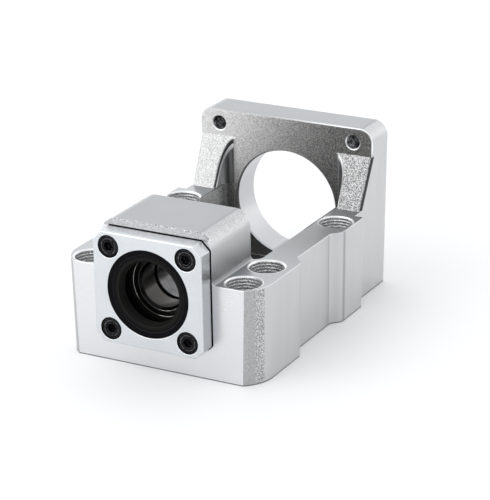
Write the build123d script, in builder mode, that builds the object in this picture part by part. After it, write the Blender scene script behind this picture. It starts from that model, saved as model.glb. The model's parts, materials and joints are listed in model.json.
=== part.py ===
import os
from math import cos, pi, radians, sin, tan
from build123d import *

os.makedirs("parts", exist_ok=True)

# Bearing support that carries the end of a screw and the motor that drives it. Base, rails, bearing block,
# webs and motor plate are one casting. The two ball bearings are pressed against a shoulder by the cover.
# X runs across, Y from the bearing cover back to the motor, Z up from the mounting face. The origin lies on
# the mounting face, in the middle of the four front mounting holes, straight under the screw's axis.

# Heights of the casting above its mounting face
axis_height = 27.0
rail_height = 31.3
block_rise = 20.4
plate_rise = 30.0
floor_thickness = 6.5

# Plan of the casting: half widths, measured on the mounting face, and lengths from the machined front face
front_half_width = 34.4
waist_half_width = 31.2
boss_half_width = 34.1
plate_half_width = 30.8
block_half_width = 19.3
rail_inner_half = 22.2
block_length = 24.9
plate_front = 85.9
plate_thickness = 11.5
front_swell_end = 27.2
boss_start = 60.1
boss_end = 73.2
swell_length = 5.8
front_corner_radius = 12.0
front_machining = 2.1
base_draft = 1.0
plate_draft = 1.5
block_corner_radius = 5.0
block_foot_radius = 1.2
pocket_corner_radius = 3.0
plate_corner_radius = 4.7
plate_edge_radius = 0.6

# Webs between the rails and the motor plate
web_foot = 77.7
web_rise = 16.3
web_inner_half = 22.8
web_root_radius = 4.5
web_edge_radius = 1.0

# Mounting holes through the rails, for M6 cap screws
mount_hole_radius = 3.3
mount_head_radius = 5.5
mount_head_depth = 18.0
mount_hole_chamfer = 0.35
front_hole_side = 7.55
front_hole_inset = 6.2
front_hole_pitch = 15.0
rear_hole_side = 5.7
rear_hole_from_front = 66.0

# Motor seat: pilot bore and the two tapped holes above it
pilot_radius = 18.25
pilot_chamfer = 0.4
motor_hole_spacing = 50.0
motor_hole_radius = 2.4
motor_hole_chamfer = 0.3

# Bearing: bore, outside and width of each of the two, with its balls
bearing_bore_radius = 7.5
bearing_outer_radius = 16.0
bearing_width = 9.0
bearing_edge = 0.9
inner_shoulder_radius = 10.1
outer_shoulder_radius = 13.4
outer_open_radius = 13.9
ball_radius = 2.38
ball_count = 11
ball_clearance = 0.1
cage_inner_radius = 10.9
cage_outer_radius = 12.6
cage_length = 7.2
pocket_clearance = 0.12
race_gap = 0.04
shield_inset = 0.1
shield_thickness = 0.6
shield_clearance = 0.12

# Housing bore, cover and its screws
fit_clearance = 0.02
spigot_clearance = 0.05
spigot_length = 3.0
cover_gap = 0.3
cover_width = 38.0
cover_height = 36.5
cover_thickness = 5.4
cover_corner = 2.8
cover_edge = 0.3
cover_lip_radius = 13.5
cover_lip_depth = 1.6
screw_spacing = 27.0
screw_radius = 2.0
screw_head_radius = 3.5
screw_head_height = 4.0
screw_head_edge = 0.4
screw_reach = 9.0
screw_hole_extra = 2.5
screw_hole_clearance = 0.05
screw_pass_radius = 2.25
screw_counterbore_radius = 3.7
screw_head_sink = 0.15
socket_across_flats = 3.0
socket_depth = 2.0

# Seals
front_seal_radius = 14.3
front_seal_sink = 0.35
front_seal_length = 4.3
rear_seal_radius = 14.0
rear_seal_sink = 0.2
rear_seal_length = 2.8
seal_lip_radius = 10.0
seal_rim_width = 1.8
seal_step = 0.25
seal_skin = 1.1

# Heights and places that follow from the sizes above
block_height = axis_height + block_rise
plate_top = axis_height + plate_rise
web_top = rail_height + web_rise
front_hole_x = front_half_width - front_hole_side
rear_hole_x = boss_half_width - rear_hole_side
front_face = -(front_hole_inset + front_hole_pitch / 2)
block_rear = front_face + block_length
plate_face = front_face + plate_front
plate_rear = plate_face + plate_thickness
rear_hole_y = front_face + rear_hole_from_front
front_hole_ys = (front_face + front_hole_inset, front_face + front_hole_inset + front_hole_pitch)
cover_rear = front_face - cover_gap
cover_front = cover_rear - cover_thickness
first_bearing = front_face + spigot_length
bearing_shoulder = first_bearing + 2 * bearing_width
pitch_radius = (bearing_bore_radius + bearing_outer_radius) / 2
front_web_foot = front_face + web_foot


def upright(y):
    # An upright plane across the screw's axis at the place y: its own X is X, and its own Y is the height
    return Plane.XZ.offset(-y)


def ring_plane():
    # The plane through the screw's axis on which rings are drawn: X is the radius, and Y runs along the axis
    return Plane(origin=(0, 0, axis_height), x_dir=(1, 0, 0), z_dir=(0, 0, 1))


screw_axis = Axis((0, 0, axis_height), (0, 1, 0))


def side_swell(x_start, y_start, x_end, y_end):
    # Two equal tangent arcs that lead from one straight side to the next
    middle = ((x_start + x_end) / 2, (y_start + y_end) / 2)
    TangentArc((x_start, y_start), middle, tangent=(0, 1))
    TangentArc((x_end, y_end), middle, tangent=(0, -1))


# The casting
with BuildPart() as support_casting:
    # Base: one drafted outline with a round corner, a waist and a boss round each rear hole
    cast_front = front_face - front_machining
    waist_start = front_face + front_swell_end
    waist_end = front_face + boss_start - swell_length
    with BuildSketch(Plane.XY):
        with BuildLine():
            Line((0, cast_front), (front_half_width - front_corner_radius, cast_front))
            TangentArc((front_half_width, cast_front + front_corner_radius),
                       (front_half_width - front_corner_radius, cast_front), tangent=(0, -1))
            Line((front_half_width, cast_front + front_corner_radius), (front_half_width, waist_start))
            side_swell(front_half_width, waist_start, waist_half_width, waist_start + swell_length)
            Line((waist_half_width, waist_start + swell_length), (waist_half_width, waist_end))
            side_swell(waist_half_width, waist_end, boss_half_width, front_face + boss_start)
            Line((boss_half_width, front_face + boss_start), (boss_half_width, front_face + boss_end))
            Line((boss_half_width, front_face + boss_end), (0, front_face + boss_end))
            Line((0, front_face + boss_end), (0, cast_front))
        make_face()
        mirror(about=Plane.YZ)
    extrude(amount=rail_height, taper=-base_draft)

    # Machine the front face flat
    with BuildSketch(Plane.XY):
        with Locations((0, front_face - front_machining)):
            Rectangle(4 * front_half_width, 2 * front_machining)
    extrude(amount=rail_height, mode=Mode.SUBTRACT)

    # Rear of the casting: rails, webs and motor plate share one drafted outline
    plate_half_top = plate_half_width + plate_top * tan(radians(plate_draft))
    rear_start = front_face + boss_end - pocket_corner_radius
    with BuildSketch(upright(rear_start)) as rear_outline:
        with BuildLine():
            Polyline((-plate_half_width, 0), (plate_half_width, 0), (plate_half_top, plate_top),
                     (-plate_half_top, plate_top), close=True)
        make_face()
        fillet(rear_outline.vertices().group_by(Axis.Y)[-1], radius=plate_corner_radius)
    extrude(amount=-(plate_rear - rear_start))

    # Cut away what stands before the slope of the webs
    with BuildSketch(Plane.YZ):
        with BuildLine():
            Polyline((rear_start, rail_height), (front_web_foot, rail_height), (plate_face, web_top),
                     (plate_face, plate_top), (rear_start, plate_top), close=True)
        make_face()
    extrude(amount=plate_half_top, both=True, mode=Mode.SUBTRACT)

    # Clear the room between the webs, which leaves their round roots against the plate
    with BuildSketch(Plane.XY.offset(rail_height)) as web_room:
        with Locations((0, (rear_start + plate_face) / 2)):
            Rectangle(2 * web_inner_half, plate_face - rear_start)
        fillet(web_room.vertices().group_by(Axis.Y)[-1], radius=web_root_radius)
    extrude(amount=plate_top - rail_height, mode=Mode.SUBTRACT)

    # Round the edges of the two sloped web faces
    web_slopes = support_casting.faces().filter_by(GeomType.PLANE).filter_by(
        lambda f: f.normal_at().Z > 0.1 and f.normal_at().Y < -0.1 and f.center().Z > rail_height)
    web_edges = web_slopes.edges().filter_by(lambda e: rail_height + 1 < e.center().Z < web_top - 1)
    fillet(web_edges, radius=web_edge_radius)

    # Round the plate's front edge above the webs
    plate_rim = support_casting.edges().filter_by(
        lambda e: abs(e.center().Y - plate_face) < 0.01 and e.bounding_box().size.Y < 0.01
        and e.center().Z > web_top + 0.01
        and (abs(e.center().X) > web_inner_half + 0.01 or e.center().Z > plate_top - 0.01))
    fillet(plate_rim, radius=plate_edge_radius)

    # Pocket for the coupling between the block and the motor plate, open at the top
    with BuildSketch(Plane.XY.offset(floor_thickness)) as pocket:
        with Locations((0, (block_rear + plate_face) / 2)):
            Rectangle(2 * rail_inner_half, plate_face - block_rear)
        fillet(pocket.vertices(), radius=pocket_corner_radius)
    extrude(amount=rail_height - floor_thickness, mode=Mode.SUBTRACT)

    # Bearing block with round upper corners
    with BuildSketch(upright(front_face)) as block_outline:
        with Locations((0, block_height / 2)):
            Rectangle(2 * block_half_width, block_height)
        fillet(block_outline.vertices().group_by(Axis.Y)[-1], radius=block_corner_radius)
    extrude(amount=-block_length)

    # Round root along both feet of the block
    block_feet = support_casting.edges().filter_by(Axis.Y).filter_by(
        lambda e: abs(abs(e.center().X) - block_half_width) < 0.01 and abs(e.center().Z - rail_height) < 0.01)
    fillet(block_feet, radius=block_foot_radius)

    # Housing bore up to the bearing shoulder, then the rear seal's seat behind a thin lip
    with BuildSketch(ring_plane()):
        with BuildLine():
            Polyline((0, front_face), (bearing_outer_radius + fit_clearance, front_face),
                     (bearing_outer_radius + fit_clearance, bearing_shoulder),
                     (rear_seal_radius - seal_rim_width / 2, bearing_shoulder),
                     (rear_seal_radius - seal_rim_width / 2, block_rear - rear_seal_sink - rear_seal_length),
                     (rear_seal_radius + fit_clearance, block_rear - rear_seal_sink - rear_seal_length),
                     (rear_seal_radius + fit_clearance, block_rear), (0, block_rear), close=True)
        make_face()
    revolve(axis=screw_axis, mode=Mode.SUBTRACT)

    # Pilot bore and tapped holes for the motor, with both rims of each chamfered
    motor_hole_height = axis_height + motor_hole_spacing / 2
    for bore_x, bore_height, bore_radius, rim in (
            (0, axis_height, pilot_radius, pilot_chamfer),
            (-motor_hole_spacing / 2, motor_hole_height, motor_hole_radius, motor_hole_chamfer),
            (motor_hole_spacing / 2, motor_hole_height, motor_hole_radius, motor_hole_chamfer)):
        with BuildSketch(Plane(origin=(bore_x, 0, bore_height), x_dir=(1, 0, 0), z_dir=(0, 0, 1))):
            with BuildLine():
                Polyline((0, plate_face), (bore_radius + rim, plate_face), (bore_radius, plate_face + rim),
                         (bore_radius, plate_rear - rim), (bore_radius + rim, plate_rear), (0, plate_rear),
                         close=True)
            make_face()
        revolve(axis=Axis((bore_x, 0, bore_height), (0, 1, 0)), mode=Mode.SUBTRACT)

    # Counterbored mounting holes
    with Locations(Plane.XY.offset(rail_height)):
        with Locations(*[(side * front_hole_x, y) for side in (-1, 1) for y in front_hole_ys],
                       *[(side * rear_hole_x, rear_hole_y) for side in (-1, 1)]):
            CounterBoreHole(radius=mount_hole_radius, counter_bore_radius=mount_head_radius,
                            counter_bore_depth=mount_head_depth, depth=rail_height)
            Cone(bottom_radius=mount_head_radius, top_radius=mount_head_radius + mount_hole_chamfer,
                 height=mount_hole_chamfer, align=(Align.CENTER, Align.CENTER, Align.MAX), mode=Mode.SUBTRACT)

    # Tapped holes for the cover screws
    tapped_depth = screw_reach + screw_hole_extra
    with BuildSketch(upright(front_face)):
        with Locations((0, axis_height)):
            with GridLocations(screw_spacing, screw_spacing, 2, 2):
                Circle(screw_radius + screw_hole_clearance)
    extrude(amount=-tapped_depth, mode=Mode.SUBTRACT)
support_casting.part.label = "support_casting"
export_step(support_casting.part, "parts/support_casting.step")


# The cover: a square plate with a spigot that holds the outer races, and the front seal's seat
with BuildPart() as bearing_cover:
    with BuildSketch(upright(cover_rear)) as cover_outline:
        with Locations((0, axis_height)):
            Rectangle(cover_width, cover_height)
        chamfer(cover_outline.vertices(), length=cover_corner)
    extrude(amount=cover_thickness)
    with BuildSketch(upright(cover_rear)):
        with Locations((0, axis_height)):
            Circle(bearing_outer_radius - spigot_clearance)
    extrude(amount=-(first_bearing - cover_rear))
    chamfer(bearing_cover.faces().sort_by(Axis.Y)[0].edges(), length=cover_edge)
    seat_end = cover_front + front_seal_sink + front_seal_length
    with BuildSketch(ring_plane()):
        with BuildLine():
            Polyline((0, cover_front), (front_seal_radius + fit_clearance, cover_front),
                     (front_seal_radius + fit_clearance, seat_end), (cover_lip_radius, seat_end),
                     (cover_lip_radius, seat_end + cover_lip_depth),
                     (front_seal_radius, seat_end + cover_lip_depth), (front_seal_radius, first_bearing),
                     (0, first_bearing), close=True)
        make_face()
    revolve(axis=screw_axis, mode=Mode.SUBTRACT)
    with Locations(upright(cover_front)):
        with Locations((0, axis_height)):
            with GridLocations(screw_spacing, screw_spacing, 2, 2):
                CounterBoreHole(radius=screw_pass_radius, counter_bore_radius=screw_counterbore_radius,
                                counter_bore_depth=screw_head_height + screw_head_sink,
                                depth=cover_thickness)
bearing_cover.part.label = "bearing_cover"
export_step(bearing_cover.part, "parts/bearing_cover.step")


# Four socket head screws that hold the cover
screw_head_front = cover_front + screw_head_sink
screw_places = [("cover_screw_top_left", -1, 1), ("cover_screw_top_right", 1, 1),
                ("cover_screw_bottom_left", -1, -1), ("cover_screw_bottom_right", 1, -1)]
for name, across, up in screw_places:
    screw_x = across * screw_spacing / 2
    screw_z = axis_height + up * screw_spacing / 2
    with BuildPart() as cover_screw:
        with BuildSketch(upright(screw_head_front)):
            with Locations((screw_x, screw_z)):
                Circle(screw_head_radius)
        extrude(amount=-screw_head_height)
        chamfer(cover_screw.faces().sort_by(Axis.Y)[0].edges(), length=screw_head_edge)
        with BuildSketch(upright(screw_head_front + screw_head_height)):
            with Locations((screw_x, screw_z)):
                Circle(screw_radius)
        extrude(amount=-(front_face + screw_reach - screw_head_front - screw_head_height))
        with BuildSketch(upright(screw_head_front)):
            with Locations((screw_x, screw_z)):
                RegularPolygon(radius=socket_across_flats / 2, side_count=6, major_radius=False)
        extrude(amount=-socket_depth, mode=Mode.SUBTRACT)
    cover_screw.part.label = name
    export_step(cover_screw.part, f"parts/{name}.step")


def seal_outline(outer_radius, lip_radius, front, length, facing):
    # Half section of a lip seal: a flat face with a shallow step, two lips, and a hollow at its back
    rear = front + facing * length
    face = front + facing * seal_step
    web_rear = face + facing * seal_skin
    rim_radius = outer_radius - seal_rim_width
    neck_radius = (lip_radius + rim_radius) / 2
    mouth_radius = (2 * lip_radius + rim_radius) / 3
    valley_radius = (lip_radius + neck_radius) / 2
    Polyline((outer_radius, front), (rim_radius, front), (rim_radius, face), (mouth_radius, face),
             (lip_radius, front + facing * length / 3), (valley_radius, front + facing * length / 2),
             (lip_radius, rear - facing * length / 3), (valley_radius, rear), (neck_radius, rear),
             (neck_radius, web_rear), (rim_radius, web_rear), (rim_radius, rear), (outer_radius, rear),
             close=True)


# The front seal sits in the cover, and the rear seal in the block's rear wall
with BuildPart() as front_seal:
    with BuildSketch(ring_plane()):
        with BuildLine():
            seal_outline(front_seal_radius, seal_lip_radius, cover_front + front_seal_sink, front_seal_length, 1)
        make_face()
    revolve(axis=screw_axis)
front_seal.part.label = "front_seal"
export_step(front_seal.part, "parts/front_seal.step")

with BuildPart() as rear_seal:
    with BuildSketch(ring_plane()):
        with BuildLine():
            seal_outline(rear_seal_radius, seal_lip_radius, block_rear - rear_seal_sink, rear_seal_length, -1)
        make_face()
    revolve(axis=screw_axis)
rear_seal.part.label = "rear_seal"
export_step(rear_seal.part, "parts/rear_seal.step")


# Two angular contact bearings, back to back, each with a shield on its outer, open side
for place, bearing_start, open_side in (("front", first_bearing, -1), ("rear", first_bearing + bearing_width, 1)):
    bearing_end = bearing_start + bearing_width
    bearing_middle = bearing_start + bearing_width / 2
    groove_radius = ball_radius + ball_clearance
    open_end = bearing_middle + open_side * bearing_width / 2

    with BuildPart() as outer_race:
        with BuildSketch(ring_plane()) as race_section:
            with Locations(((outer_shoulder_radius + bearing_outer_radius) / 2, bearing_middle)):
                Rectangle(bearing_outer_radius - outer_shoulder_radius, bearing_width)
            chamfer(race_section.vertices().group_by(Axis.X)[-1], length=bearing_edge)
            with Locations((pitch_radius, bearing_middle)):
                Circle(groove_radius, mode=Mode.SUBTRACT)
            with Locations(((outer_shoulder_radius + outer_open_radius) / 2, (bearing_middle + open_end) / 2)):
                Rectangle(outer_open_radius - outer_shoulder_radius, bearing_width / 2, mode=Mode.SUBTRACT)
        revolve(axis=screw_axis)
    outer_race.part.label = f"{place}_outer_race"
    export_step(outer_race.part, f"parts/{place}_outer_race.step")

    with BuildPart() as inner_race:
        with BuildSketch(ring_plane()) as race_section:
            with Locations(((bearing_bore_radius + inner_shoulder_radius) / 2, bearing_middle)):
                Rectangle(inner_shoulder_radius - bearing_bore_radius, bearing_width - 2 * race_gap)
            chamfer(race_section.vertices().group_by(Axis.X)[0], length=bearing_edge)
            with Locations((pitch_radius, bearing_middle)):
                Circle(groove_radius, mode=Mode.SUBTRACT)
        revolve(axis=screw_axis)
    inner_race.part.label = f"{place}_inner_race"
    export_step(inner_race.part, f"parts/{place}_inner_race.step")

    with BuildPart() as shield:
        with BuildSketch(ring_plane()):
            shield_inner = inner_shoulder_radius + shield_clearance
            shield_middle = open_end - open_side * (shield_inset + shield_thickness / 2)
            with Locations(((shield_inner + outer_open_radius) / 2, shield_middle)):
                Rectangle(outer_open_radius - shield_inner, shield_thickness)
        revolve(axis=screw_axis)
    shield.part.label = f"{place}_shield"
    export_step(shield.part, f"parts/{place}_shield.step")

    with BuildPart() as cage:
        with BuildSketch(ring_plane()):
            with Locations(((cage_inner_radius + cage_outer_radius) / 2, bearing_middle)):
                Rectangle(cage_outer_radius - cage_inner_radius, cage_length)
        revolve(axis=screw_axis)
        for index in range(ball_count):
            turn = 2 * pi * index / ball_count
            pocket_direction = (cos(turn), 0, sin(turn))
            with BuildSketch(Plane(origin=(0, bearing_middle, axis_height), x_dir=(0, 1, 0),
                                   z_dir=pocket_direction)):
                Circle(ball_radius + pocket_clearance)
            extrude(amount=bearing_outer_radius, mode=Mode.SUBTRACT)
    cage.part.label = f"{place}_cage"
    export_step(cage.part, f"parts/{place}_cage.step")

    for index in range(ball_count):
        turn = 2 * pi * index / ball_count
        ball_centre = (pitch_radius * cos(turn), bearing_middle, axis_height + pitch_radius * sin(turn))
        with BuildPart() as ball:
            with Locations(ball_centre):
                Sphere(ball_radius)
        ball.part.label = f"{place}_ball_{index + 1}"
        export_step(ball.part, f"parts/{place}_ball_{index + 1}.step")
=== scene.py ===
# Looks of the bearing support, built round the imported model. The frame, pieces, lamp and camera are in
# metres. Patterns and the places of finishes are in millimetres.
import json
import bpy
import bmesh
from math import tau
from mathutils import Matrix, Vector


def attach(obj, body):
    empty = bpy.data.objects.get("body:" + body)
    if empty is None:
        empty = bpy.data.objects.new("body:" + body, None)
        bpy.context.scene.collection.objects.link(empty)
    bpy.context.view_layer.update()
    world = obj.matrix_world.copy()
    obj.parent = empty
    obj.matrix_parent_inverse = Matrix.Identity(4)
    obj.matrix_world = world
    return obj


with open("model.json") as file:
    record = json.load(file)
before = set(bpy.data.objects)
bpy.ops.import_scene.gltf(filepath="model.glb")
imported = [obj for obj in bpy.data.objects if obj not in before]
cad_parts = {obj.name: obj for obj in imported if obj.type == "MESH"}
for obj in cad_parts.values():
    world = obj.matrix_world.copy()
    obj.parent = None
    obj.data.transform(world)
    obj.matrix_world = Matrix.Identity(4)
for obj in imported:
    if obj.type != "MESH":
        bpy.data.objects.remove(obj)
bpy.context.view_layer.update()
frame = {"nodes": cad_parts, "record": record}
nodes = frame["nodes"]
millimetre = 0.001
axisHeight = 27.0  # of the screw's axis above the mounting face, in millimetres
print("frame loaded:", len(nodes), "nodes")


class Wire:
    # A socket that can be added, multiplied and so on; each operator adds a Math node
    def __init__(self, tree, socket=None):
        self.tree = tree
        self.socket = socket

    def node(self, kind, settings, inputs, output=0):
        made = self.tree.nodes.new(kind)
        for name, value in settings.items():
            if name == "stops":
                ramp = made.color_ramp.elements
                while len(ramp) < len(value):
                    ramp.new(0.5)
                for stop, (place, colour) in zip(ramp, value):
                    stop.position = place
                    stop.color = colour
            else:
                setattr(made, name, value)
        for name, value in inputs.items():
            if isinstance(value, Wire):
                self.tree.links.new(value.socket, made.inputs[name])
            else:
                made.inputs[name].default_value = value
        return Wire(self.tree, made.outputs[output])

    def maths(self, operation, first, second):
        return self.node("ShaderNodeMath", {"operation": operation}, {0: first, 1: second})

    def __add__(self, other):
        return self.maths("ADD", self, other)

    def __radd__(self, other):
        return self.maths("ADD", other, self)

    def __sub__(self, other):
        return self.maths("SUBTRACT", self, other)

    def __rsub__(self, other):
        return self.maths("SUBTRACT", other, self)

    def __mul__(self, other):
        return self.maths("MULTIPLY", self, other)

    def __rmul__(self, other):
        return self.maths("MULTIPLY", other, self)

    def __pow__(self, other):
        return self.maths("POWER", self, other)

    def __abs__(self):
        return self.node("ShaderNodeMath", {"operation": "ABSOLUTE"}, {0: self})


def higher(first, second):
    return first.maths("MAXIMUM", first, second)


def lower(first, second):
    return first.maths("MINIMUM", first, second)


def sine(value):
    return value.node("ShaderNodeMath", {"operation": "SINE"}, {0: value})


def distance(first, second):
    return (first * first + second * second) ** 0.5


def between(value, low, high):
    # 0 below low, 1 above high, smooth in between; low may be the larger one
    return value.node("ShaderNodeMapRange", {"interpolation_type": "SMOOTHSTEP"},
                      {"Value": value, "From Min": low, "From Max": high})


def past(value, start, soft):
    # 0 up to start, 1 from start + soft on; a negative soft keeps what lies below instead
    return between(value, start, start + soft)


def stripe(value, middle, half):
    # 1 at the middle, falling to 0 at half the width on both sides
    return between(abs(value - middle), half, 0.0)


def blendColours(mask, first, second):
    return mask.node("ShaderNodeMix", {"data_type": "RGBA"}, {0: mask, 6: first, 7: second}, 2)


def noise(place, scale, detail=2.0, rough=0.5):
    return place.node("ShaderNodeTexNoise", {}, {"Vector": place, "Scale": scale, "Detail": detail,
                                                 "Roughness": rough})


def stretched(place, scales):
    # The same place with each of its three directions scaled
    return place.node("ShaderNodeVectorMath", {"operation": "MULTIPLY"}, {0: place, 1: scales})


def split(place):
    parts = place.node("ShaderNodeSeparateXYZ", {}, {0: place})
    return [Wire(place.tree, output) for output in parts.socket.node.outputs]


def facing(place):
    # The three parts of the surface's own direction, in the piece's frame
    return split(place.node("ShaderNodeTexCoord", {}, {}, "Normal"))


def roundedNormal(place, radius):
    # Breaks sharp edges with a small radius, as a deburred edge catches the light
    return place.node("ShaderNodeBevel", {"samples": 6}, {"Radius": radius * millimetre})


def bareEdges(place, rounded):
    # 1 along sharp edges, where the rounded direction leaves the face's own
    straight = place.node("ShaderNodeNewGeometry", {}, {}, "Normal")
    turned = rounded.node("ShaderNodeVectorMath", {"operation": "DOT_PRODUCT"}, {0: rounded, 1: straight},
                          "Value")
    return between(turned, 0.985, 0.90)


def bumped(place, height, strength, depth, normal):
    return place.node("ShaderNodeBump", {}, {"Height": height, "Strength": strength,
                                             "Distance": depth * millimetre, "Normal": normal})


def newMaterial(name, look):
    # A Principled material; the constants in look are set on its sockets, and the wires are linked to them
    material = bpy.data.materials.new(name)
    material.use_nodes = True
    tree = material.node_tree
    shader = tree.nodes["Principled BSDF"]
    place = Wire(tree).node("ShaderNodeTexCoord", {}, {}, "Object")
    for socket, value in look(stretched(place, (1000.0, 1000.0, 1000.0))).items():
        if isinstance(value, Wire):
            tree.links.new(value.socket, shader.inputs[socket])
        else:
            shader.inputs[socket].default_value = value
    return material


# The casting: blasted skin, satin sides and tops, milled faces and bored walls on one material, with painted
# light and shade in many places
casting = {
    # Tints of the blasted finishes, each with its pits; the slopes and the plate have lit and shaded tints as
    # painted light and shade, and the roots and the pocket painted shade
    "slopeLight": (0.57, 0.57, 0.57, 1.0), "slopeDark": (0.525, 0.525, 0.528, 1.0),
    "slopePit": (0.10, 0.10, 0.10, 1.0),
    "pebble": (0.72, 0.72, 0.725, 1.0), "pebblePit": (0.24, 0.24, 0.24, 1.0),
    "skin": (0.52, 0.52, 0.525, 1.0), "skinDark": (0.36, 0.36, 0.36, 1.0),
    "plateLight": (0.67, 0.67, 0.663, 1.0), "plateDark": (0.28, 0.28, 0.274, 1.0),
    "plateLightPit": (0.44, 0.44, 0.431, 1.0), "plateDarkPit": (0.10, 0.099, 0.096, 1.0),
    "root": (0.34, 0.345, 0.35, 1.0), "rootDark": (0.07, 0.07, 0.072, 1.0),
    "pocket": (0.42, 0.42, 0.415, 1.0), "pocketDark": (0.16, 0.16, 0.16, 1.0),
    # Tints of the smooth and cut finishes; the tops, the swells, the foot, the block's lower sides and the
    # seam round the cover take painted shade, and rim is the tone of painted highlights on edges
    "side": (0.61, 0.615, 0.62, 1.0), "sideShade": (0.58, 0.586, 0.592, 1.0),
    "top": (0.36, 0.37, 0.379, 1.0), "rail": (0.47, 0.483, 0.493, 1.0),
    "milled": (0.715, 0.72, 0.73, 1.0), "pilot": (0.55, 0.555, 0.565, 1.0),
    "groove": (0.30, 0.30, 0.305, 1.0), "foot": (0.16, 0.16, 0.16, 1.0),
    "bored": (0.98, 0.98, 0.98, 1.0), "boredDark": (0.36, 0.36, 0.365, 1.0),
    "blockFoot": (0.27, 0.274, 0.278, 1.0), "rim": (0.95, 0.955, 0.96, 1.0),
    "lipPit": (0.04, 0.04, 0.04, 1.0), "seam": (0.01, 0.01, 0.01, 1.0),
    # Where the front face, the lip above the cover and the gap round the cover are
    "frontFace": -13.7, "stripFoot": 45.2, "lipDepth": 1.9, "coverHalf": 19.0, "coverRise": 18.25,
    "coverCorner": 34.45, "slant": 0.71, "gapWidth": 0.45, "gapFoot": 9.0, "lineStart": -16.0,
    "lineHeight": 43.0,
    # Where the block, the rails and the front corners are
    "blockSide": 19.0, "blockSideEnd": 21.0, "blockRear": 11.1, "blockShade": (44.0, 31.0),
    "shoulderFoot": 42.0, "railTop": 31.3, "railEnd": 33.0, "railEdgeStart": 40.0, "outside": 29.0,
    "cornerStart": 24.0, "cornerEnd": -7.8, "pocketSide": 22.3, "pocketLedge": 20.0,
    "swellStart": 40.7, "swellEnd": 46.2, "footHeight": 0.45,
    # Where the webs and the motor plate are; slopeY and slopeZ give the direction that the slopes face
    "webTop": 47.6, "webFoot": 64.0, "slopeY": 0.893, "slopeZ": 0.449, "plateFace": 72.2, "plateRear": 83.7,
    "pilotRadius": 18.9, "motorHole": (25.0, 52.0), "motorRimRadius": 2.85,
    "holes": ((26.85, -7.5), (26.85, 7.5), (28.4, 52.3)), "holeRadius": 5.6,
    # Painted light and shade that change across the part, from one place to the other
    "slopeFade": (-10.0, 10.0), "pitFade": (-70.0, 10.0), "plateFade": (-32.0, 24.0),
    "lineFade": (10.0, 0.0), "plateRimFade": (-10.0, 24.0),
    # Widths of the painted shade and highlight lines along the webs' edges, and what they gain across the
    # part
    "darkLine": 0.68, "darkLineGain": 0.54, "brightLine": 0.62, "brightLineGain": 0.15,
    "leftLine": 0.8,
    # Grain, relief and roughness
    "drawn": (0.25, 0.25, 0.03), "streaks": (0.9, 0.9, 0.05), "grain": 2.6, "fineGrain": 5.0,
    "grainDepth": 0.13, "edge": 0.3, "coarseRelief": 0.9, "fineRelief": 0.06,
    "fineBlasted": 0.25, "boredRelief": 1.9, "turnRelief": 0.4, "turnRate": 6.2, "cutRelief": 0.03,
    "relief": 0.9, "patches": 0.09, "cuts": (0.4, 9.0, 9.0), "rough": 0.38, "roughPatches": 0.08,
    "roughBlock": 0.12, "roughBlasted": 0.02, "smoothMilled": 0.09, "smoothTops": 0.06, "roughCuts": 0.05}


def coverGap(x, z, front):
    # Painted shade: the dark seam behind the cover, and a painted shadow that the cover throws just beyond
    # its outline
    across = abs(x)
    up = abs(z - axisHeight)
    beyondCover = higher(higher(across - casting["coverHalf"], up - casting["coverRise"]),
                         (across + up - casting["coverCorner"]) * casting["slant"])
    seam = front * past(beyondCover, 0.0, -0.1)
    lineEnd = past(x, casting["lineStart"], -1.5) * past(z, casting["lineHeight"], 1.0)
    shadow = front * past(beyondCover, casting["gapWidth"], -0.23) * past(z, casting["gapFoot"], 1.5)
    return higher(seam, shadow * (1 - lineEnd))


def webLines(x, y, z, facingX, webs):
    # Painted shade and painted highlight: the dark and the bright line along the rounded edges of the webs
    behindSlope = (y - casting["webFoot"]) * casting["slopeY"] - (z - casting["railTop"]) * casting["slopeZ"]
    edges = webs * past(behindSlope, 0.0, 0.06)
    leftHalf = between(x, *casting["lineFade"])
    darkWidth = (1 - leftHalf) * casting["darkLineGain"] + casting["darkLine"]
    brightWidth = leftHalf * casting["brightLineGain"] + casting["brightLine"]
    towardsRight = between(facingX, 0.1, 0.2)
    darkEnd = past(behindSlope, darkWidth + 0.1, -0.1)
    dark = edges * towardsRight * darkEnd
    brightRight = towardsRight * (1 - darkEnd) * leftHalf \
        * past(behindSlope, casting["leftLine"] + brightWidth, -0.25)
    brightLeft = (1 - towardsRight) * past(behindSlope, casting["leftLine"], -0.2) \
        * between(facingX, -0.1, -0.3)
    return dark, edges * (brightRight + brightLeft)


def mountingHoles(across, y, z, facingZ):
    # The walls of the mounting holes, and their rims in the rails' tops, which get a painted highlight
    near = None
    rims = None
    for holeX, holeY in casting["holes"]:
        fromHole = distance(across - holeX, y - holeY)
        hole = past(fromHole, casting["holeRadius"] + 0.08, -0.08)
        rim = past(fromHole, casting["holeRadius"] + 0.62, -0.22)
        near = hole if near is None else higher(near, hole)
        rims = rim if rims is None else higher(rims, rim)
    walls = near * between(abs(facingZ), 0.6, 0.4)
    return walls, rims * past(z, casting["railTop"] - 0.6, 0.2) * (1 - walls)


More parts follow.
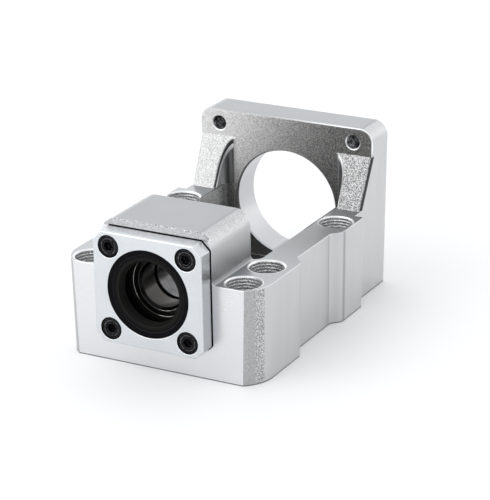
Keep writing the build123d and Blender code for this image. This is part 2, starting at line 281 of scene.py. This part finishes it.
def castingMasks(place):
    # Where each finish is, from 0 to 1
    x, y, z = split(place)
    across = abs(x)
    facingX, facingY, facingZ = facing(place)
    sideways = abs(facingX)
    front = past(y, casting["frontFace"] + 0.1, -0.06)
    strip = front * past(z, casting["stripFoot"], 0.15)
    tops = between(facingZ, 0.95, 0.99)
    slopes = between(facingZ, 0.25, 0.35) * between(facingZ, 0.65, 0.55) * between(facingY, -0.70, -0.80) \
        * past(z, casting["railTop"] - 0.2, 0.2)
    plate = past(y, casting["plateFace"] - 0.4, 0.3) * between(facingY, -0.93, -0.98)
    corners = past(across, casting["cornerStart"], 0.2) * past(y, casting["cornerEnd"], -0.3) \
        * between(abs(facingZ), 0.3, 0.2) * (1 - front)
    pilot = past(distance(x, z - axisHeight), casting["pilotRadius"], -0.1) \
        * past(y, casting["plateFace"] - 0.1, 0.15) * between(abs(facingY), 0.9, 0.8)
    milled = front * (1 - strip) + past(y, casting["plateRear"] - 0.06, 0.04) + pilot
    inside = past(across, casting["pocketSide"] + 1.0, -0.2) * past(y, casting["blockRear"], 0.1) \
        * (1 - tops * past(z, casting["pocketLedge"], 2.0)) * (1 - milled) * (1 - plate) * (1 - slopes) \
        * past(z, casting["webTop"] + 2, -1)
    # Painted shade: the pocket below the rails' tops
    deep = inside * past(z, casting["railTop"] + 0.5, -1.0)
    upright = between(abs(facingZ), 0.06, 0.03)
    # Painted shade: the concave roots of the webs by the plate
    roots = inside * upright * between(facingY, -0.45, -0.80) * between(facingY, -0.995, -0.96)
    webs = (1 - slopes) * (1 - plate) * (1 - tops) * past(z, casting["railTop"], 0.2) \
        * past(z, casting["webTop"] + 0.3, -0.3) * between(facingY, 0.2, 0.1)
    darkLines, brightLines = webLines(x, y, z, facingX, webs)
    lip = between(y, casting["frontFace"] + casting["lipDepth"], casting["frontFace"] + 0.6) \
        * past(z, casting["stripFoot"], 0.5) * (1 - front)
    shoulders = past(z, casting["shoulderFoot"], 1.0) * past(y, casting["blockRear"] + 0.3, -0.3) \
        * between(sideways, 0.15, 0.3) * between(sideways, 0.97, 0.9) * between(facingZ, 0.1, 0.2)
    motorX, motorZ = casting["motorHole"]
    # Painted highlight: rims round the motor plate's holes
    motorRims = past(distance(across - motorX, z - motorZ), casting["motorRimRadius"], -0.1) \
        * between(abs(facingY), 0.93, 0.85) * past(y, casting["plateFace"] + 1.0, -0.5)
    # Painted highlight: the plate's rounded front edge above the webs, stronger to the right
    plateRim = between(facingY, -0.2, -0.4) * between(facingY, -0.96, -0.88) \
        * between(x, *casting["plateRimFade"]) * past(z, casting["webTop"] + 0.5, 1.5) \
        * past(y, casting["plateFace"] + 0.9, -0.2)
    # Painted shade: the rails' inner top edges towards the webs
    railEdges = tops * past(across, casting["pocketSide"] + 0.5, -0.3) \
        * past(y, casting["railEdgeStart"], 4.0) * past(z, casting["railTop"] + 1, -0.5)
    walls, rims = mountingHoles(across, y, z, facingZ)
    blockSides = past(across, casting["blockSide"], 0.2) * past(y, casting["blockRear"] + 0.2, -0.2) \
        * past(across, casting["blockSideEnd"], -0.4) * past(z, casting["railTop"], 0.4)
    # Painted shade: dark lines where the sides swell out
    swells = stripe(y, casting["swellStart"], 0.5) * 0.55 + stripe(y, casting["swellEnd"], 1.3) * 0.75
    return {"strip": strip, "tops": tops, "slopes": slopes, "plate": plate, "pilot": pilot, "milled": milled,
            "deep": deep, "roots": roots, "darkLines": darkLines, "lip": lip, "walls": walls,
            "railEdges": railEdges, "blockSides": blockSides, "gap": coverGap(x, z, front),
            "blasted": lower(slopes + plate + corners + strip + inside, 1.0),
            "pebbles": corners * between(sideways, 0.77, 0.86),
            "burr": higher(lip, shoulders * 0.22),
            "swells": swells * past(across, casting["outside"], 1.0) * (1 - tops),
            "rims": higher(higher(rims, brightLines), higher(motorRims, plateRim))}


def castingColour(place, masks, edges):
    x, _, z = split(place)
    drawn = noise(stretched(place, casting["drawn"]), 1.0)
    streaks = noise(stretched(place, casting["streaks"]), 1.0)
    specks = noise(place, casting["grain"], 3.0, 0.75)
    grit = between(specks, 0.36, 0.62)
    # Sides and tops, with painted shade low on the block's sides, along the swells and on the tops
    colour = blendColours(between(drawn, 0.1, 0.9), casting["side"], casting["sideShade"])
    # Painted shade: the block's sides darker towards the bottom
    shade = masks["blockSides"] * between(z, *casting["blockShade"])
    colour = blendColours(shade, colour, casting["blockFoot"])
    # Painted shade along the swells
    colour = blendColours(masks["swells"] * (0.6 + 0.8 * specks), colour, casting["groove"])
    # Painted shade: the tops tinted darker than the sides, the block's top most of all
    top = blendColours(past(z, casting["railEnd"], 2.0), casting["rail"], casting["top"])
    colour = blendColours(masks["tops"], colour, top)
    # Blasted skin, with its pits; painted light and shade on the slopes, the plate, the roots, the webs'
    # edges and the pocket
    colour = blendColours(masks["blasted"], colour, blendColours(grit, casting["skinDark"], casting["skin"]))
    pebble = blendColours(between(specks, 0.42, 0.58), casting["pebblePit"], casting["pebble"])
    colour = blendColours(masks["pebbles"], colour, pebble)
    # Painted light and shade: the slopes lighter on the left than on the right, with their pits fading out to
    # the left
    slope = blendColours(between(x, *casting["slopeFade"]), casting["slopeLight"], casting["slopeDark"])
    pits = between(specks, 0.60, 0.40) * between(x, *casting["pitFade"])
    colour = blendColours(masks["slopes"], colour, blendColours(pits, slope, casting["slopePit"]))
    # Painted shade and painted reflection: the plate's front darkens from left to right, as if reflecting the
    # block's dark rear face
    fade = between(x, *casting["plateFade"])
    plate = blendColours(fade, casting["plateLight"], casting["plateDark"])
    platePit = blendColours(fade, casting["plateLightPit"], casting["plateDarkPit"])
    colour = blendColours(masks["plate"], colour, blendColours(between(specks, 0.41, 0.60), platePit, plate))
    # Painted shade in the webs' roots, with streaks of painted highlight
    root = blendColours(between(streaks, 0.3, 0.8), casting["rootDark"], casting["root"])
    colour = blendColours(masks["roots"], colour, root)
    # Painted shade: the dark line along the webs' edges
    colour = blendColours(masks["darkLines"], colour, casting["rootDark"])
    burr = blendColours(between(specks, 0.47, 0.57), casting["lipPit"], casting["rim"])
    colour = blendColours(masks["burr"], colour, burr)
    # Painted shade: the pocket darker, with darker pits
    colour = blendColours(masks["deep"], colour, blendColours(grit, casting["pocketDark"], casting["pocket"]))
    # Cut faces and walls
    colour = blendColours(masks["milled"], colour, casting["milled"])
    colour = blendColours(masks["pilot"], colour, casting["pilot"])
    wall = blendColours(between(specks, 0.38, 0.52), casting["boredDark"], casting["bored"])
    colour = blendColours(masks["walls"], colour, wall)
    # Painted highlights on edges and rims, and painted shade and shadow on the rails' inner edges, round the
    # cover and along the foot
    colour = blendColours(higher(edges, masks["rims"]), colour, casting["rim"])
    # Painted shade on the rails' inner edges
    colour = blendColours(masks["railEdges"], colour, casting["rootDark"])
    # Painted shade and painted shadow round the cover
    colour = blendColours(masks["gap"], colour, casting["seam"])
    # Painted shade: a dark line along the foot
    return blendColours(past(z, casting["footHeight"], -0.25), colour, casting["foot"])


def castingLook(place):
    masks = castingMasks(place)
    rounded = roundedNormal(place, casting["edge"])
    edges = bareEdges(place, rounded) * (1 - masks["walls"]) * (1 - masks["deep"]) * (1 - masks["lip"]) \
        * (1 - masks["strip"])
    patches = noise(place, casting["patches"], 3.0)
    cuts = noise(stretched(place, casting["cuts"]), 1.0)  # faint milling lines
    roughness = casting["rough"] + casting["roughPatches"] * (patches - 0.5) \
        + casting["roughBlock"] * masks["blockSides"] + casting["roughBlasted"] * masks["blasted"] \
        - casting["smoothMilled"] * masks["milled"] - casting["smoothTops"] * masks["tops"] \
        + casting["roughCuts"] * (cuts - 0.5)
    coarse = noise(place, casting["grain"], 2.0, 0.6)
    fine = noise(place, casting["fineGrain"], 1.0)
    turns = sine(split(place)[2] * casting["turnRate"])  # about one to a millimetre, in the bored walls
    height = higher(masks["blasted"], masks["lip"]) * coarse * casting["coarseRelief"] \
        + fine * (casting["fineRelief"] + casting["fineBlasted"] * masks["blasted"]) \
        + masks["walls"] * (coarse * casting["boredRelief"] + turns * casting["turnRelief"]) \
        + casting["cutRelief"] * cuts * masks["milled"]
    return {"Base Color": castingColour(place, masks, edges), "Metallic": 1.0, "Roughness": roughness,
            "Normal": bumped(place, height, casting["relief"], casting["grainDepth"], rounded)}


# The cover: bright milled aluminium with a fine cross grain, sides in painted shade, edges with a painted
# highlight and the rear face painted dark as the shade behind it
cover = {"bright": (0.645, 0.667, 0.69, 1.0), "worn": (0.61, 0.632, 0.655, 1.0),
         "rim": (0.96, 0.97, 0.98, 1.0), "side": (0.52, 0.537, 0.553, 1.0),
         "seam": (0.01, 0.01, 0.01, 1.0), "edge": 0.3, "lines": (0.25, 6.0, 6.0), "wear": 0.12,
         "rough": 0.26, "roughLines": 0.08, "relief": 0.35, "depth": 0.01}


def coverLook(place):
    facingX, facingY, _ = facing(place)
    lines = noise(stretched(place, cover["lines"]), 1.0)
    wear = between(noise(place, cover["wear"], 3.0), 0.35, 0.7)
    colour = blendColours(wear, cover["bright"], cover["worn"])
    # Painted shade: the cover's sides darker than its front
    colour = blendColours(between(abs(facingX), 0.6, 0.9), colour, cover["side"])
    rounded = roundedNormal(place, cover["edge"])
    # Painted highlight along the edges
    colour = blendColours(bareEdges(place, rounded), colour, cover["rim"])
    # Painted shade: the rear face, in the gap against the block, is dark
    colour = blendColours(between(facingY, 0.8, 0.9), colour, cover["seam"])
    return {"Base Color": colour, "Metallic": 1.0,
            "Roughness": cover["rough"] + cover["roughLines"] * (lines - 0.5),
            "Normal": bumped(place, lines, cover["relief"], cover["depth"], rounded)}


# Black oxide screws, worn bare along some edges, with a painted highlight ring round the socket that is
# patchy with the wear; spread is half their spacing
screw = {"oxide": (0.0025, 0.0025, 0.003, 1.0), "rubbed": (0.007, 0.007, 0.008, 1.0),
         "bare": (0.12, 0.12, 0.125, 1.0), "edge": 0.25, "spread": 13.5, "ring": 2.45, "ringHalf": 0.28,
         "wear": 1.4, "grain": 6.0, "rough": 0.24, "roughWear": 0.15, "shine": 0.06, "relief": 0.4,
         "depth": 0.02}


def screwLook(place):
    x, _, z = split(place)
    wear = noise(place, screw["wear"], 3.0, 0.6)
    colour = blendColours(between(wear, 0.4, 0.75), screw["oxide"], screw["rubbed"])
    rounded = roundedNormal(place, screw["edge"])
    edges = bareEdges(place, rounded) * between(wear, 0.3, 0.6)
    # Painted highlight: a ring round each socket, patchy with the wear
    fromMiddle = distance(abs(x) - screw["spread"], abs(z - axisHeight) - screw["spread"])
    ring = stripe(fromMiddle, screw["ring"], screw["ringHalf"]) * between(facing(place)[1], -0.5, -0.9)
    bare = higher(edges, ring * between(wear, 0.35, 0.6))
    return {"Base Color": blendColours(bare, colour, screw["bare"]), "Metallic": bare,
            "Roughness": screw["rough"] + screw["roughWear"] * wear, "Specular IOR Level": screw["shine"],
            "Normal": bumped(place, noise(place, screw["grain"]), screw["relief"], screw["depth"], rounded)}


# Moulded rubber seals and shields; a painted glint on every edge, and painted highlights in a steel tone
# along the shields' inner edges, strongest on the left and at the bottom
seal = {"rubber": (0.0015, 0.0015, 0.002, 1.0), "bloom": (0.0035, 0.0035, 0.0045, 1.0),
        "glint": (0.03, 0.031, 0.036, 1.0), "steel": (0.95, 0.94, 0.92, 1.0),
        "dusty": (0.0085, 0.0083, 0.0075, 1.0), "lip": 11.2, "edge": 0.25, "shieldsMiddle": -1.7,
        "shieldsReach": 10.2, "shieldsRadius": 10.8, "wornLeft": -8.0, "wornLow": 17.6, "wornStart": -2.5,
        "hardlyWorn": 0.15, "bloomScale": 0.5, "grain": 5.0, "rough": 0.26, "roughBloom": 0.2, "shine": 0.045,
        "relief": 0.3, "depth": 0.02}


def sealLook(place):
    x, y, z = split(place)
    fromAxis = distance(x, z - axisHeight)
    bloom = noise(place, seal["bloomScale"], 4.0, 0.6)
    colour = blendColours(between(bloom, 0.35, 0.7), seal["rubber"], seal["bloom"])
    colour = blendColours(past(fromAxis, seal["lip"] + 1.2, -1.2), colour, seal["dusty"])
    rounded = roundedNormal(place, seal["edge"])
    edges = bareEdges(place, rounded)
    # Painted glint on every edge
    colour = blendColours(edges, colour, seal["glint"])
    # Painted highlights: arcs on the shields' inner edges, faint all round and strongest on the left and at
    # the bottom
    worn = higher(past(x, seal["wornLeft"], -1.2),
                  past(z, seal["wornLow"], -0.5) * past(x, seal["wornStart"], 2.0))
    shields = past(fromAxis, seal["shieldsRadius"], -0.2) \
        * past(abs(y - seal["shieldsMiddle"]), seal["shieldsReach"], -0.2)
    bare = edges * shields * (seal["hardlyWorn"] + (1 - seal["hardlyWorn"]) * worn)
    return {"Base Color": blendColours(bare, colour, seal["steel"]), "Metallic": bare,
            "Roughness": seal["rough"] + seal["roughBloom"] * bloom, "Specular IOR Level": seal["shine"],
            "Normal": bumped(place, noise(place, seal["grain"]), seal["relief"], seal["depth"], rounded)}


# Ground bearing steel, with fine rings round the screw's axis; joint is where the two bearings meet
steel = {"ground": (0.17, 0.17, 0.172, 1.0), "stained": (0.12, 0.12, 0.12, 1.0),
         "shaded": (0.075, 0.071, 0.065, 1.0), "dark": (0.008, 0.008, 0.008, 1.0),
         "rim": (0.9, 0.89, 0.87, 1.0),
         "edge": 0.14, "boreRadius": 7.5, "rimRadius": 8.2, "joint": -1.7, "width": 9.0, "chamfer": 0.9,
         "frontEnd": -7.7, "leftDim": 0.2, "ringsAcross": 14, "ringsAlong": 9, "stain": 0.35, "rough": 0.18,
         "roughRings": 0.16, "relief": 0.3, "depth": 0.006}


def steelLook(place):
    x, y, z = split(place)
    fromAxis = distance(x, z - axisHeight)
    ringPlace = place.node("ShaderNodeCombineXYZ", {}, {"X": fromAxis * steel["ringsAcross"],
                                                        "Y": y * steel["ringsAlong"]})
    rings = noise(ringPlace, 1.0)
    stain = between(noise(place, steel["stain"], 4.0), 0.4, 0.7)
    colour = blendColours(stain, steel["ground"], steel["stained"])
    # Painted shade: the front bearing's race darker than the rear one
    colour = blendColours(past(y, steel["joint"] + 0.3, -0.6), colour, steel["shaded"])
    fromJoint = abs(y - steel["joint"])
    # Painted shade: the chamfers at the races' ends and at the joint, near black
    ends = past(fromJoint, steel["chamfer"] + 0.05, -0.05) \
        + past(fromJoint, steel["width"] - steel["chamfer"] - 0.1, 0.1)
    chamfers = ends * past(fromAxis, steel["boreRadius"] + 0.02, 0.08) \
        * past(fromAxis, steel["boreRadius"] + 1.2, -0.2)
    colour = blendColours(chamfers, colour, steel["dark"])
    rounded = roundedNormal(place, steel["edge"])
    # Painted highlight: bright rims along the front edges, dimmer to the left
    frontEdges = bareEdges(place, rounded) * past(y, steel["frontEnd"], -1)
    rim = frontEdges * (steel["leftDim"] + (1 - steel["leftDim"]) * between(x, -3.0, 0.0)) \
        * past(fromAxis, steel["rimRadius"], 0.15)
    colour = blendColours(rim, colour, steel["rim"])
    return {"Base Color": colour, "Metallic": 1.0, "Roughness": steel["rough"] + steel["roughRings"] * rings,
            "Normal": bumped(place, rings, steel["relief"], steel["depth"], rounded)}


# Moulded cages
cage = {"plastic": (0.012, 0.012, 0.012, 1.0), "rubbed": (0.03, 0.03, 0.029, 1.0), "edge": 0.1,
        "wear": 0.9, "grain": 5.0, "rough": 0.45, "roughWear": 0.2, "relief": 0.3, "depth": 0.02}


def cageLook(place):
    wear = noise(place, cage["wear"], 4.0)
    colour = blendColours(between(wear, 0.35, 0.7), cage["plastic"], cage["rubbed"])
    rounded = roundedNormal(place, cage["edge"])
    return {"Base Color": colour, "Roughness": cage["rough"] + cage["roughWear"] * wear,
            "Normal": bumped(place, noise(place, cage["grain"]), cage["relief"], cage["depth"], rounded)}


# Threads of the motor plate's holes, painted dark as the shade inside the holes, with random brighter patches
# as painted highlights
tapped = {"oiled": (0.03, 0.03, 0.032, 1.0), "bright": (0.32, 0.32, 0.33, 1.0), "edge": 0.05,
          "oil": 0.9, "rough": 0.24, "roughOil": 0.1}


def tappedLook(place):
    oil = noise(place, tapped["oil"], 3.0, 0.6)
    return {"Base Color": blendColours(between(oil, 0.46, 0.72), tapped["oiled"], tapped["bright"]),
            "Metallic": 1.0, "Roughness": tapped["rough"] + tapped["roughOil"] * oil,
            "Normal": roundedNormal(place, tapped["edge"])}


materials = {
    "cast_aluminium": newMaterial("castAluminium", castingLook),
    "machined_aluminium": newMaterial("milledAluminium", coverLook),
    "black_steel": newMaterial("blackOxideSteel", screwLook),
    "black_rubber": newMaterial("sealRubber", sealLook),
    "bearing_steel": newMaterial("bearingSteel", steelLook),
    "cage_plastic": newMaterial("mouldedCage", cageLook)}
for part in frame["record"]["subparts"]:
    node = nodes[part["node"]]
    node.material_slots[0].material = materials[part["material_slot"]]
print("materials on", len(nodes), "nodes")


# Threads in the two tapped holes of the motor plate
thread = {"x": 0.025, "z": 0.052, "start": 0.0726, "pitch": 0.0008, "turns": 13, "steps": 28,
          "rootRadius": 0.00242, "crestRadius": 0.0021, "flat": 0.0001}
threadMaterial = newMaterial("tappedAluminium", tappedLook)


def threadRidge(name, x):
    mesh = bmesh.new()
    half = thread["pitch"] / 2 - thread["flat"] / 2
    section = [(thread["rootRadius"], -half), (thread["crestRadius"], -thread["flat"]),
               (thread["crestRadius"], thread["flat"]), (thread["rootRadius"], half)]
    corners = [mesh.verts.new((radius, along, 0)) for radius, along in section]
    ridge = mesh.faces.new(corners)
    bmesh.ops.spin(mesh, geom=[ridge], cent=(0, 0, 0), axis=(0, 1, 0),
                   dvec=(0, thread["pitch"] / thread["steps"], 0), angle=tau * thread["turns"],
                   steps=thread["steps"] * thread["turns"], use_merge=False)
    bmesh.ops.holes_fill(mesh, edges=mesh.edges, sides=4)
    bmesh.ops.translate(mesh, verts=mesh.verts, vec=(x, thread["start"] + half, thread["z"]))
    bmesh.ops.recalc_face_normals(mesh, faces=mesh.faces)
    data = bpy.data.meshes.new(name)
    mesh.to_mesh(data)
    mesh.free()
    data.materials.append(threadMaterial)
    piece = bpy.data.objects.new(name, data)
    bpy.context.scene.collection.objects.link(piece)
    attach(piece, "support")


threadRidge("motorThreadLeft", -thread["x"])
threadRidge("motorThreadRight", thread["x"])
print("threads cut")


# Studio: a pale floor, soft light all round and one large lamp. The doorway is a darker patch of sky that
# the rounded edges reflect.
studio = {"floor": (0.95, 0.95, 0.95, 1.0), "floorSize": 6.0, "floorRough": 0.6, "sky": 1.43,
          "skyStops": ((0.0, (1.0, 1.0, 1.0, 1)), (0.3, (0.98, 0.98, 0.99, 1)),
                       (0.6, (0.75, 0.76, 0.77, 1)), (1.0, (0.55, 0.56, 0.57, 1))),
          "openDoor": (0.891, -0.377, 0.2535), "doorway": (0.05, 0.05, 0.055, 1.0),
          "doorEdge": (0.90, 0.97),
          "lampPlace": (-0.62, -0.85, 0.62), "lampTarget": (0, 0.02, 0.03), "lampSize": (1.5, 1.4),
          "lampPower": 6.5, "floorGrain": 0.004, "roughGrain": 0.05}


def floorLook(place):
    grain = noise(place, studio["floorGrain"])
    return {"Base Color": studio["floor"], "Roughness": studio["floorRough"] + studio["roughGrain"] * grain}


def makeFloor():
    mesh = bmesh.new()
    bmesh.ops.create_grid(mesh, x_segments=1, y_segments=1, size=studio["floorSize"])
    data = bpy.data.meshes.new("floor")
    mesh.to_mesh(data)
    mesh.free()
    data.materials.append(newMaterial("paleFloor", floorLook))
    floor = bpy.data.objects.new("floor", data)
    bpy.context.scene.collection.objects.link(floor)


def makeSky():
    world = bpy.data.worlds.new("studioSky")
    world.use_nodes = True
    tree = world.node_tree
    background = tree.nodes["Background"]
    direction = Wire(tree).node("ShaderNodeTexCoord", {}, {}, "Generated")
    height = split(direction)[2]
    sky = height.node("ShaderNodeValToRGB", {"stops": studio["skyStops"]}, {"Fac": height})
    towards = direction.node("ShaderNodeVectorMath", {"operation": "DOT_PRODUCT"},
                             {0: direction, 1: studio["openDoor"]}, "Value")
    sky = blendColours(between(towards, *studio["doorEdge"]), sky, studio["doorway"])
    tree.links.new(sky.socket, background.inputs["Color"])
    background.inputs["Strength"].default_value = studio["sky"]
    bpy.context.scene.world = world


def makeLamp():
    lamp = bpy.data.lights.new("keyLamp", "AREA")
    lamp.shape = "RECTANGLE"
    lamp.size, lamp.size_y = studio["lampSize"]
    lamp.energy = studio["lampPower"]
    holder = bpy.data.objects.new("keyLamp", lamp)
    bpy.context.scene.collection.objects.link(holder)
    holder.location = studio["lampPlace"]
    aim = Vector(studio["lampTarget"]) - Vector(studio["lampPlace"])
    holder.rotation_euler = aim.to_track_quat("-Z", "Y").to_euler()


makeFloor()
makeSky()
makeLamp()

# Camera where the photograph was taken from
camera = {"place": (0.33209, -0.56454, 0.2843), "right": (0.88043852, 0.47384102, -0.01739811),
          "up": (-0.15465896, 0.32166886, 0.93413583), "back": (0.44822831, -0.8197584, 0.35649341),
          "lens": 163.0, "sensor": 36.0, "nearest": 0.01}
lens = bpy.data.cameras.new("camera")
lens.lens = camera["lens"]
lens.sensor_width = camera["sensor"]
lens.clip_start = camera["nearest"]
viewer = bpy.data.objects.new("camera", lens)
bpy.context.scene.collection.objects.link(viewer)
turn = Matrix((camera["right"], camera["up"], camera["back"])).transposed()
viewer.matrix_world = Matrix.Translation(camera["place"]) @ turn.to_4x4()
bpy.context.scene.camera = viewer
bpy.context.scene.view_settings.view_transform = "Standard"
print("studio and camera ready")
